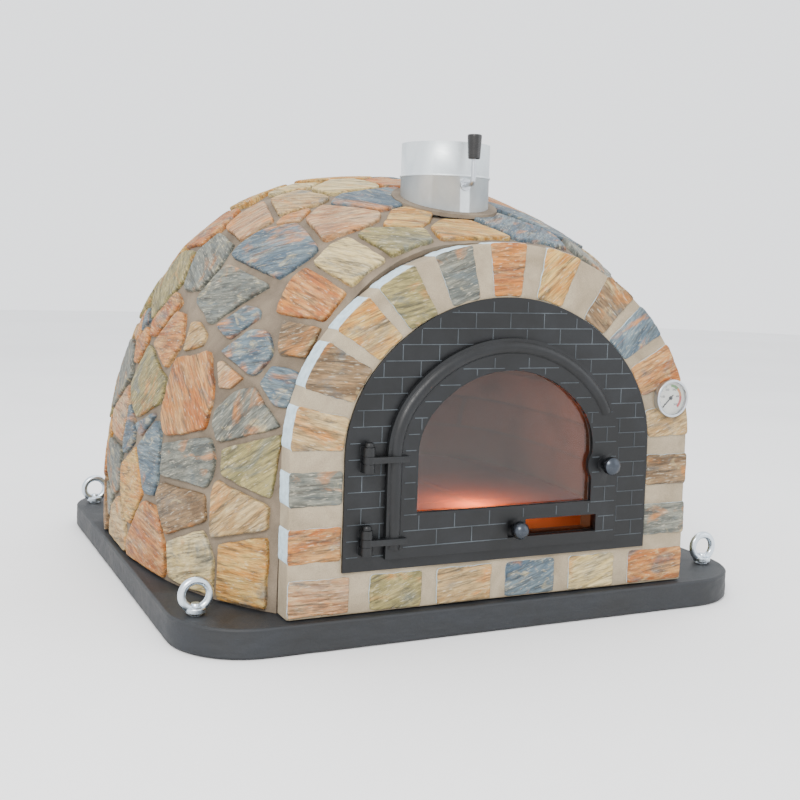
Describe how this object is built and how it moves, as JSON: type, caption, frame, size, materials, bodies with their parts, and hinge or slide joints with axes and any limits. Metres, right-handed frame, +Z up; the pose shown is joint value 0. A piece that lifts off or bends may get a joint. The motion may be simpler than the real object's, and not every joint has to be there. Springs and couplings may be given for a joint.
{
  "type": "wood fired pizza oven",
  "caption": "Stone-clad dome oven on a slab, with a glazed cast-iron door on a side hinge, sliding air shutter, turn latch, flue with damper lever, and dial thermometer.",
  "frame": {"origin": "middle of the slab's underside", "axes": "+Z up, -Y towards the door, +X to the right when facing the door"},
  "size_m": [1, 1.0261, 0.774],
  "materials": {
    "slab": "cast, dark, lightly brushed",
    "zinc": "bright zinc",
    "steel": "plain mill finish",
    "board": "chalky board",
    "fire_tile": "fired clay",
    "cladding_stone": "split quartzite in mortar",
    "render": "trowelled render",
    "blanket": "ceramic fibre",
    "refractory": "cast refractory",
    "wall_stone": "split quartzite",
    "mortar": "sandy mortar",
    "frame_iron": "black stove finish",
    "door_iron": "black stove finish",
    "flue_steel": "bright drawn steel",
    "bush": "turned",
    "rope": "glass fibre rope",
    "glass": "clear stove glass",
    "knob_steel": "dark polished",
    "grip": "moulded heat proof resin",
    "gauge_steel": "polished",
    "dial": "white enamel",
    "lens": "clear",
    "needle": "matt black"
  },
  "bodies": {
    "oven": {"base_slab": "slab", "lift_sockets": "steel", "lift_eyes": "zinc", "floor_board": "board", "floor_tiles": "fire_tile", "stone_cladding": "cladding_stone", "render_coat": "render", "insulation_blanket": "blanket", "refractory_dome": "refractory", "arch_stones": "wall_stone", "arch_mortar": "mortar", "sill_stones": "wall_stone", "sill_mortar": "mortar", "mouth_arch": "refractory", "door_frame": "frame_iron", "frame_anchors": "steel", "hinge_pins": "door_iron", "flue_pipe": "flue_steel", "flue_collar": "mortar", "damper_bushes": "bush", "thermometer_case": "gauge_steel", "thermometer_dial": "dial", "thermometer_bezel": "gauge_steel", "thermometer_lens": "lens", "thermometer_probe": "steel"},
    "door": {"door_leaf": "door_iron", "door_rope": "rope", "door_glass": "glass", "glass_seal": "rope", "glass_clips": "steel", "clip_screws": "steel", "shutter_rails": "steel", "rail_screws": "steel"},
    "latch": {"latch_knob": "knob_steel", "latch_spindle": "steel", "latch_tongue": "steel", "latch_nut": "zinc"},
    "shutter": {"air_shutter": "door_iron", "shutter_knob": "knob_steel"},
    "damper": {"damper_rod": "steel", "damper_disc": "steel", "damper_studs": "zinc", "damper_grip": "grip"},
    "needle": {"thermometer_needle": "needle"}
  },
  "joints": [
    {"name": "door_swing", "type": "hinge", "parent": "oven", "child": "door", "pos_m": [-0.234, -0.497, 0.216], "axis": [0, 0, -1], "range_deg": [0, 120]},
    {"name": "latch_turn", "type": "hinge", "parent": "door", "child": "latch", "pos_m": [0.178, -0.492, 0.252], "axis": [0, -1, 0], "range_deg": [0, 90]},
    {"name": "shutter_slide", "type": "slide", "parent": "door", "child": "shutter", "axis": [1, 0, 0], "range_m": [0, 0.13]},
    {"name": "damper_turn", "type": "hinge", "parent": "oven", "child": "damper", "pos_m": [0, -0.248, 0.694], "axis": [0, 1, 0], "range_deg": [0, 90]},
    {"name": "needle_turn", "type": "hinge", "parent": "oven", "child": "needle", "pos_m": [0.306, -0.49, 0.355], "axis": [0, 1, 0], "range_deg": [0, 270]}
  ]
}
